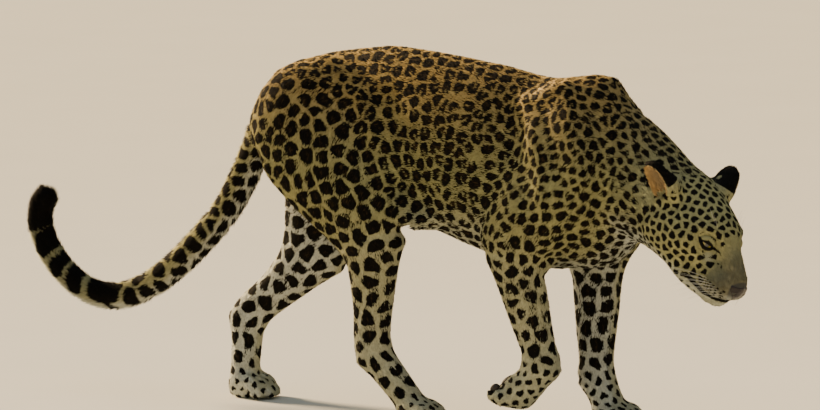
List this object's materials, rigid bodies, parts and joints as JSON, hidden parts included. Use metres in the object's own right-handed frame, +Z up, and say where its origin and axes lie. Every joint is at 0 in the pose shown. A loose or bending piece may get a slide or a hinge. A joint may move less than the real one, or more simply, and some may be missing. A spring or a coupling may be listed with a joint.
{
  "type": "leopard model",
  "caption": "Life-size still model of a walking adult leopard, head low and turned to its right, near forepaw lifted, long tail curled up at its end.",
  "frame": {"origin": "on the floor, below the middle of the animal's box", "axes": "+X forward, along the animal towards its head; +Y to the animal's left; +Z up"},
  "size_m": [1.572, 0.2746, 0.6952],
  "materials": {
    "coat_tawny": "matte",
    "coat_pale": "matte",
    "nose_leather": "satin",
    "eye": "gloss"
  },
  "bodies": {
    "root": {"head": "coat_tawny", "lower_jaw": "coat_pale", "nose": "nose_leather", "eye_left": "eye", "eye_right": "eye", "ear_left": "coat_pale", "ear_right": "coat_pale", "neck": "coat_tawny", "chest": "coat_tawny", "loin": "coat_tawny", "pelvis": "coat_tawny", "shoulder_left": "coat_tawny", "shoulder_right": "coat_tawny", "forearm_left": "coat_pale", "forearm_right": "coat_pale", "fore_paw_left": "coat_pale", "fore_paw_right": "coat_pale", "thigh_left": "coat_tawny", "thigh_right": "coat_tawny", "shank_left": "coat_pale", "shank_right": "coat_pale", "metatarsus_left": "coat_pale", "metatarsus_right": "coat_pale", "hind_paw_left": "coat_pale", "hind_paw_right": "coat_pale", "tail_1": "coat_tawny", "tail_2": "coat_tawny", "tail_3": "coat_tawny", "tail_4": "coat_tawny", "tail_5": "coat_tawny"}
  },
  "joints": []
}
